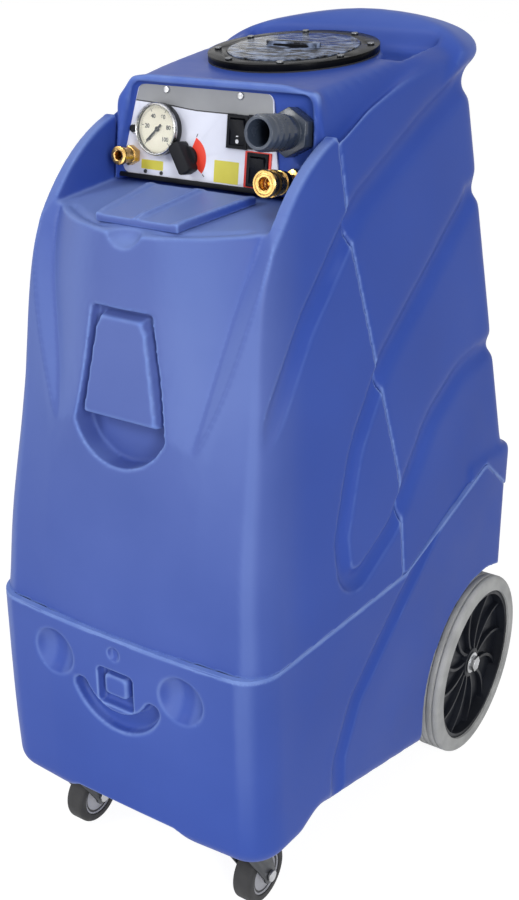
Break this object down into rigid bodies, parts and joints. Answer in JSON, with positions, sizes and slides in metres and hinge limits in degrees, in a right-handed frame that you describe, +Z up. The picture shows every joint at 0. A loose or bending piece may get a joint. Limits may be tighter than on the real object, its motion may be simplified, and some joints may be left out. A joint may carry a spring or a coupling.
{
  "type": "carpet extractor",
  "caption": "Upright box carpet extractor with blue moulded tanks, control panel, hose fittings, large rear wheels and front swivel casters.",
  "frame": {"origin": "floor level under the middle of the outer box", "axes": "+Z up, front with the control panel towards -Y, +X to the right seen from the front"},
  "size_m": [0.436, 0.6395, 0.9854],
  "materials": {
    "blue_poly": "satin roto-moulded polyethylene",
    "black_rubber": "matt",
    "black_plastic": "fine matt grain",
    "switch_black": "semi-gloss",
    "clear_plastic": "clear and polished",
    "zinc_steel": "zinc plated",
    "panel_white": "gloss printed plate",
    "gauge_steel": "brushed",
    "dial_cream": "matt paint",
    "needle_black": "matt paint",
    "lens_glass": "clear",
    "red_plastic": "gloss",
    "brass": "machined",
    "barb_grey": "moulded",
    "pipe_white": "smooth pipe",
    "float_white": "smooth",
    "tyre_grey": "matt grey rubber",
    "caster_rubber": "matt",
    "caster_grey": "moulded",
    "motor_alloy": "cast"
  },
  "bodies": {
    "frame": {"base_tub": "blue_poly", "solution_tank": "blue_poly", "recovery_tank": "blue_poly", "base_seal": "black_rubber", "lid_gasket": "black_rubber", "lid_ring": "black_plastic", "lid_screws": "zinc_steel", "control_panel": "panel_white", "panel_strip": "black_plastic", "panel_screws": "zinc_steel", "gauge_case": "gauge_steel", "gauge_dial": "dial_cream", "gauge_lens": "lens_glass", "regulator_valve": "brass", "switch_housings": "switch_black", "red_frame": "red_plastic", "breaker_body": "zinc_steel", "inlet_fitting": "brass", "hose_barb": "barb_grey", "coupler_nipple": "brass", "coupler_body": "brass", "standpipe": "pipe_white", "float_cage": "zinc_steel", "drain_valve": "pipe_white", "power_inlets": "switch_black", "rear_axle": "zinc_steel", "axle_brackets": "motor_alloy", "axle_washers": "zinc_steel", "axle_nuts": "zinc_steel", "caster_plates": "zinc_steel", "caster_bolts": "zinc_steel", "caster_kingpins": "zinc_steel", "vacuum_motors": "motor_alloy", "pump_motor": "motor_alloy", "pump_head": "motor_alloy"},
    "fill_lid": {"fill_lid": "blue_poly"},
    "clear_lid": {"clear_lid": "clear_plastic"},
    "gauge_needle": {"gauge_needle": "needle_black"},
    "regulator_knob": {"regulator_knob": "black_plastic"},
    "rocker_pump": {"switch_pump_rocker": "switch_black"},
    "rocker_vacuum_a": {"switch_vacuum_a_rocker": "switch_black"},
    "rocker_vacuum_b": {"switch_vacuum_b_rocker": "switch_black"},
    "breaker_button": {"breaker_button": "switch_black"},
    "coupler_sleeve": {"coupler_sleeve": "brass"},
    "coupler_poppet": {"coupler_poppet": "brass"},
    "float_ball": {"float_ball": "float_white"},
    "drain_lever": {"drain_lever": "red_plastic"},
    "rear_wheel_left": {"rear_tyre_left": "tyre_grey", "rear_hub_left": "black_plastic"},
    "caster_left": {"caster_fork_left": "zinc_steel", "caster_axle_left": "zinc_steel"},
    "caster_wheel_left": {"caster_tyre_left": "caster_rubber", "caster_hub_left": "caster_grey"},
    "rear_wheel_right": {"rear_tyre_right": "tyre_grey", "rear_hub_right": "black_plastic"},
    "caster_right": {"caster_fork_right": "zinc_steel", "caster_axle_right": "zinc_steel"},
    "caster_wheel_right": {"caster_tyre_right": "caster_rubber", "caster_hub_right": "caster_grey"}
  },
  "joints": [
    {"name": "fill_lid_lift", "type": "slide", "parent": "frame", "child": "fill_lid", "axis": [0, -0.0924, 0.9957], "range_m": [0, 0.12]},
    {"name": "clear_lid_lift", "type": "slide", "parent": "frame", "child": "clear_lid", "axis": [0, -0.1097, 0.994], "range_m": [0, 0.1]},
    {"name": "gauge_needle_turn", "type": "hinge", "parent": "frame", "child": "gauge_needle", "pos_m": [-0.07, -0.12057, 0.87597], "axis": [0, -0.9923, 0.1236], "range_deg": [-270, 0]},
    {"name": "regulator_turn", "type": "hinge", "parent": "frame", "child": "regulator_knob", "pos_m": [-0.033, -0.12391, 0.84917], "axis": [0, -0.9923, 0.1236], "range_deg": [-120, 0]},
    {"name": "rocker_pump_tip", "type": "hinge", "parent": "frame", "child": "rocker_pump", "pos_m": [0.03, -0.11095, 0.88041], "axis": [1, 0, 0], "range_deg": [-20, 0]},
    {"name": "rocker_vacuum_a_tip", "type": "hinge", "parent": "frame", "child": "rocker_vacuum_a", "pos_m": [0.0565, -0.11082, 0.8814], "axis": [1, 0, 0], "range_deg": [-20, 0]},
    {"name": "rocker_vacuum_b_tip", "type": "hinge", "parent": "frame", "child": "rocker_vacuum_b", "pos_m": [0.0575, -0.11547, 0.84409], "axis": [1, 0, 0], "range_deg": [-20, 0]},
    {"name": "breaker_push", "type": "slide", "parent": "frame", "child": "breaker_button", "axis": [0, 0.9923, -0.1236], "range_m": [0, 0.003], "stiffness_N_per_m": 300},
    {"name": "coupler_sleeve_pull", "type": "slide", "parent": "frame", "child": "coupler_sleeve", "axis": [0, 0.9923, -0.1236], "range_m": [0, 0.007], "stiffness_N_per_m": 400},
    {"name": "coupler_poppet_push", "type": "slide", "parent": "frame", "child": "coupler_poppet", "axis": [0, 0.9923, -0.1236], "range_m": [0, 0.006], "stiffness_N_per_m": 200},
    {"name": "float_rise", "type": "slide", "parent": "frame", "child": "float_ball", "axis": [0, 0, 1], "range_m": [0, 0.037]},
    {"name": "drain_lever_turn", "type": "hinge", "parent": "frame", "child": "drain_lever", "pos_m": [0, 0.286, 0.4985], "axis": [0, 0, 1], "range_deg": [0, 90]},
    {"name": "rear_wheel_left_roll", "type": "hinge", "parent": "frame", "child": "rear_wheel_left", "pos_m": [-0.1955, 0.193, 0.127], "axis": [1, 0, 0], "continuous": true},
    {"name": "caster_left_swivel", "type": "hinge", "parent": "frame", "child": "caster_left", "pos_m": [-0.13, -0.253, 0.1], "axis": [0, 0, 1], "continuous": true},
    {"name": "caster_left_roll", "type": "hinge", "parent": "caster_left", "child": "caster_wheel_left", "pos_m": [-0.13, -0.2285, 0.0375], "axis": [1, 0, 0], "continuous": true},
    {"name": "rear_wheel_right_roll", "type": "hinge", "parent": "frame", "child": "rear_wheel_right", "pos_m": [0.1955, 0.193, 0.127], "axis": [1, 0, 0], "continuous": true},
    {"name": "caster_right_swivel", "type": "hinge", "parent": "frame", "child": "caster_right", "pos_m": [0.13, -0.253, 0.1], "axis": [0, 0, 1], "continuous": true},
    {"name": "caster_right_roll", "type": "hinge", "parent": "caster_right", "child": "caster_wheel_right", "pos_m": [0.13, -0.2285, 0.0375], "axis": [1, 0, 0], "continuous": true}
  ]
}
